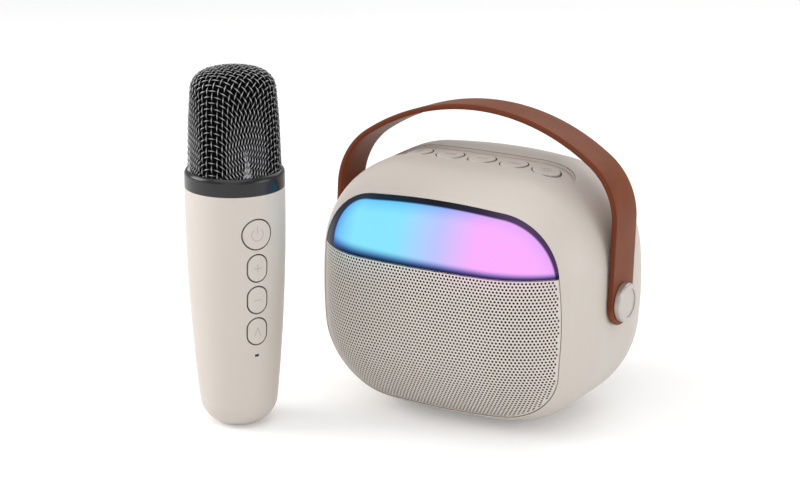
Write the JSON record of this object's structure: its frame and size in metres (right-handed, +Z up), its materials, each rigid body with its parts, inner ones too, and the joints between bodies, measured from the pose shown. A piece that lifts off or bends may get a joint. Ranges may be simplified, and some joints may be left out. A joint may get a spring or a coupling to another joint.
{
  "type": "portable karaoke speaker with wireless microphone",
  "caption": "Pillow-shaped portable speaker with perforated grille, light panel, top keys and a leather arch handle, with a matching wireless microphone standing beside it.",
  "frame": {"origin": "centre of the underside of the speaker's rubber pad, on the surface that both pieces stand on", "axes": "+Z up, -Y out of the speaker's grille, +X to the right as seen from the front; the microphone stands towards -X and -Y"},
  "size_m": [0.1726, 0.1556, 0.158],
  "materials": {
    "cream_shell": "fine satin moulded plastic, warm cream",
    "steel": "plated",
    "black_plastic": "matt black",
    "pad_rubber": "soft dark grey",
    "painted_grille": "perforated sheet painted satin cream",
    "lit_lens": "glossy tinted lens with a glow behind it",
    "milky_diffuser": "milky",
    "circuit_board": "green solder resist",
    "led": "white packages",
    "basket_paint": "black",
    "ferrite": "dark ceramic magnet",
    "surround_rubber": "black",
    "spider_cloth": "stiffened cloth",
    "cone_paper": "coated paper",
    "cream_key": "satin moulded plastic, warm cream",
    "brown_leather": "smooth tan-brown leather with darker edges",
    "brass": "plain",
    "knob_metal": "satin champagne",
    "cell_wrap": "shrink-wrapped cell",
    "black_gloss": "polished black",
    "mesh_metal": "woven wire painted black",
    "black_foam": "open-cell foam",
    "cup_rubber": "soft black",
    "capsule_metal": "turned",
    "clear_pipe": "dark tinted"
  },
  "bodies": {
    "speaker": {"body_shell": "cream_shell", "rear_cover": "cream_shell", "cover_screws": "steel", "port_plate": "black_plastic", "base_pad": "pad_rubber", "grille": "painted_grille", "light_lens": "lit_lens", "light_diffuser": "milky_diffuser", "light_shroud": "black_plastic", "led_board": "circuit_board", "leds": "led", "baffle": "black_plastic", "baffle_screws": "steel", "driver_basket": "basket_paint", "driver_top_plate": "steel", "driver_magnet": "ferrite", "driver_yoke": "steel", "driver_surround": "surround_rubber", "driver_spider": "spider_cloth", "key_board": "circuit_board", "key_switches": "black_plastic", "key_board_screws": "steel", "left_knob": "knob_metal", "right_knob": "knob_metal", "knob_inserts": "brass", "chassis": "black_plastic", "battery": "cell_wrap", "main_board": "circuit_board", "main_board_screws": "steel", "charging_socket": "steel", "card_reader": "steel"},
    "cone": {"driver_cone": "cone_paper"},
    "handle": {"handle_strap": "brown_leather", "handle_eyelets": "brass"},
    "microphone": {"mic_body": "cream_shell", "mic_collar": "black_gloss", "mic_mesh_head": "mesh_metal", "mic_foam": "black_foam", "mic_capsule_cup": "cup_rubber", "mic_capsule": "capsule_metal", "mic_chassis": "black_plastic", "mic_battery": "cell_wrap", "mic_board": "circuit_board", "mic_switches": "black_plastic", "mic_status_light": "clear_pipe", "mic_charge_board": "circuit_board", "mic_usb_socket": "steel"},
    "key_microphone_body": {"key_microphone": "cream_key"},
    "key_previous_body": {"key_previous": "cream_key"},
    "key_play_body": {"key_play": "cream_key"},
    "key_next_body": {"key_next": "cream_key"},
    "key_light_body": {"key_light": "cream_key"},
    "mic_power_key_body": {"mic_power_key": "cream_key"},
    "mic_plus_key_body": {"mic_plus_key": "cream_key"},
    "mic_minus_key_body": {"mic_minus_key": "cream_key"},
    "mic_mode_key_body": {"mic_mode_key": "cream_key"}
  },
  "joints": [
    {"name": "handle_hinge", "type": "hinge", "parent": "speaker", "child": "handle", "pos_m": [0, -0.0035, 0.0577], "axis": [1, 0, 0], "range_deg": [-115.6, 124.4]},
    {"name": "cone_stroke", "type": "slide", "parent": "speaker", "child": "cone", "axis": [0, -1, 0], "range_m": [-0.0008, 0.0008], "stiffness_N_per_m": 900},
    {"name": "key_microphone_press", "type": "slide", "parent": "speaker", "child": "key_microphone_body", "axis": [0, 0, -1], "range_m": [0, 0.0006], "stiffness_N_per_m": 400},
    {"name": "key_previous_press", "type": "slide", "parent": "speaker", "child": "key_previous_body", "axis": [0, 0, -1], "range_m": [0, 0.0006], "stiffness_N_per_m": 400},
    {"name": "key_play_press", "type": "slide", "parent": "speaker", "child": "key_play_body", "axis": [0, 0, -1], "range_m": [0, 0.0006], "stiffness_N_per_m": 400},
    {"name": "key_next_press", "type": "slide", "parent": "speaker", "child": "key_next_body", "axis": [0, 0, -1], "range_m": [0, 0.0006], "stiffness_N_per_m": 400},
    {"name": "key_light_press", "type": "slide", "parent": "speaker", "child": "key_light_body", "axis": [0, 0, -1], "range_m": [0, 0.0006], "stiffness_N_per_m": 400},
    {"name": "microphone_lift", "type": "slide", "parent": "speaker", "child": "microphone", "axis": [0, 0, 1], "range_m": [0, 0.16]},
    {"name": "mic_power_key_press", "type": "slide", "parent": "microphone", "child": "mic_power_key_body", "axis": [-0.859, 0.512, 0], "range_m": [0, 0.0006], "stiffness_N_per_m": 400},
    {"name": "mic_plus_key_press", "type": "slide", "parent": "microphone", "child": "mic_plus_key_body", "axis": [-0.859, 0.512, 0], "range_m": [0, 0.0006], "stiffness_N_per_m": 400},
    {"name": "mic_minus_key_press", "type": "slide", "parent": "microphone", "child": "mic_minus_key_body", "axis": [-0.859, 0.512, 0], "range_m": [0, 0.0006], "stiffness_N_per_m": 400},
    {"name": "mic_mode_key_press", "type": "slide", "parent": "microphone", "child": "mic_mode_key_body", "axis": [-0.859, 0.512, 0], "range_m": [0, 0.0006], "stiffness_N_per_m": 400}
  ]
}
